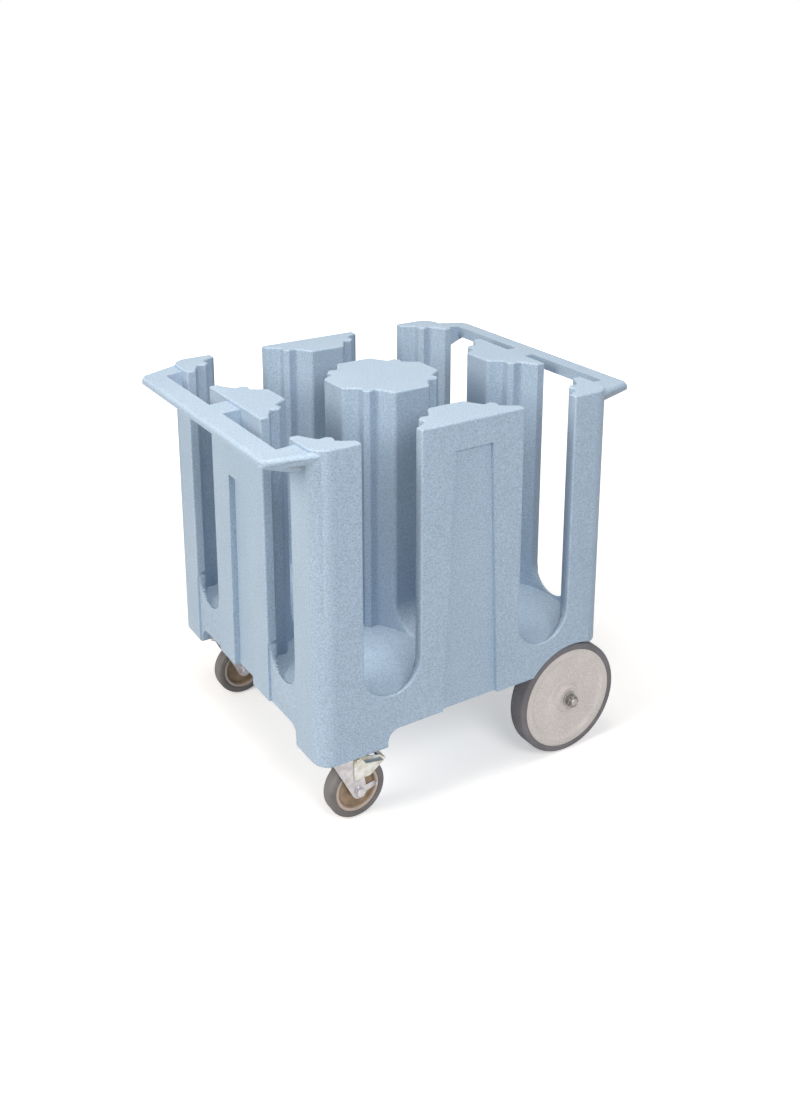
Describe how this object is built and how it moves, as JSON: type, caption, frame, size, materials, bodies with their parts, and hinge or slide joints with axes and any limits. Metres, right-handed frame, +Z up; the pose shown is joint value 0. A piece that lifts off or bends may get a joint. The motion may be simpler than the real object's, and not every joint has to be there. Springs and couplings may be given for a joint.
{
  "type": "plate dispenser cart",
  "caption": "Moulded plastic cart with round ribbed plate wells, U-shaped finger slots, push rails at both ends, large rear wheels and braked swivel casters.",
  "frame": {"origin": "on the floor under the middle of the cart's outline", "axes": "+Z up, +X towards the end with the large wheels, -X towards the casters"},
  "size_m": [0.859, 0.704, 0.819],
  "materials": {
    "body_plastic": "matte, slightly grained polyethylene",
    "rear_wheel_plastic": "satin",
    "rear_tyre": "matte",
    "wheel_plastic": "satin",
    "caster_tyre": "matte",
    "bush_plastic": "satin",
    "zinc_steel": "bright zinc plated",
    "bolt_steel": "plated",
    "brass": "dull"
  },
  "bodies": {
    "cart": {"body_shell": "body_plastic", "caster_threaded_inserts": "brass", "caster_plate_bolts": "bolt_steel", "caster_plate_washers": "bolt_steel", "rear_axle": "zinc_steel", "rear_axle_sleeves": "zinc_steel", "rear_axle_spacers": "zinc_steel", "rear_axle_washers": "zinc_steel", "rear_axle_nuts": "zinc_steel", "caster_plate_left": "zinc_steel", "caster_upper_race_left": "zinc_steel", "caster_kingpin_left": "zinc_steel", "caster_race_balls_left": "bolt_steel", "caster_plate_right": "zinc_steel", "caster_upper_race_right": "zinc_steel", "caster_kingpin_right": "zinc_steel", "caster_race_balls_right": "bolt_steel"},
    "caster_swivel_left": {"caster_fork_left": "zinc_steel", "caster_axle_strap_left": "zinc_steel", "caster_axle_bolt_left": "zinc_steel", "caster_axle_nut_left": "zinc_steel", "caster_bearing_sleeve_left": "zinc_steel", "brake_pivot_pin_left": "zinc_steel"},
    "caster_wheel_left": {"caster_wheel_core_left": "wheel_plastic", "caster_tyre_left": "caster_tyre", "caster_wheel_bush_left": "bush_plastic"},
    "brake_lever_left": {"brake_lever_left": "zinc_steel", "brake_pad_left": "caster_tyre"},
    "rear_wheel_left": {"rear_wheel_disc_left": "rear_wheel_plastic", "rear_tyre_left": "rear_tyre", "rear_hub_bush_left": "bush_plastic"},
    "caster_swivel_right": {"caster_fork_right": "zinc_steel", "caster_axle_strap_right": "zinc_steel", "caster_axle_bolt_right": "zinc_steel", "caster_axle_nut_right": "zinc_steel", "caster_bearing_sleeve_right": "zinc_steel", "brake_pivot_pin_right": "zinc_steel"},
    "caster_wheel_right": {"caster_wheel_core_right": "wheel_plastic", "caster_tyre_right": "caster_tyre", "caster_wheel_bush_right": "bush_plastic"},
    "brake_lever_right": {"brake_lever_right": "zinc_steel", "brake_pad_right": "caster_tyre"},
    "rear_wheel_right": {"rear_wheel_disc_right": "rear_wheel_plastic", "rear_tyre_right": "rear_tyre", "rear_hub_bush_right": "bush_plastic"}
  },
  "joints": [
    {"name": "caster_swivel_left", "type": "hinge", "parent": "cart", "child": "caster_swivel_left", "pos_m": [-0.27, -0.266, 0.1], "axis": [0, 0, 1], "continuous": true},
    {"name": "caster_spin_left", "type": "hinge", "parent": "caster_swivel_left", "child": "caster_wheel_left", "pos_m": [-0.234, -0.266, 0.0635], "axis": [0, 1, 0], "continuous": true},
    {"name": "brake_lever_left", "type": "hinge", "parent": "caster_swivel_left", "child": "brake_lever_left", "pos_m": [-0.238, -0.266, 0.1355], "axis": [0, 1, 0], "range_deg": [0, 11]},
    {"name": "rear_spin_left", "type": "hinge", "parent": "cart", "child": "rear_wheel_left", "pos_m": [0.267, -0.309, 0.127], "axis": [0, 1, 0], "continuous": true},
    {"name": "caster_swivel_right", "type": "hinge", "parent": "cart", "child": "caster_swivel_right", "pos_m": [-0.27, 0.266, 0.1], "axis": [0, 0, 1], "continuous": true},
    {"name": "caster_spin_right", "type": "hinge", "parent": "caster_swivel_right", "child": "caster_wheel_right", "pos_m": [-0.234, 0.266, 0.0635], "axis": [0, 1, 0], "continuous": true},
    {"name": "brake_lever_right", "type": "hinge", "parent": "caster_swivel_right", "child": "brake_lever_right", "pos_m": [-0.238, 0.266, 0.1355], "axis": [0, 1, 0], "range_deg": [0, 11]},
    {"name": "rear_spin_right", "type": "hinge", "parent": "cart", "child": "rear_wheel_right", "pos_m": [0.267, 0.309, 0.127], "axis": [0, 1, 0], "continuous": true}
  ]
}
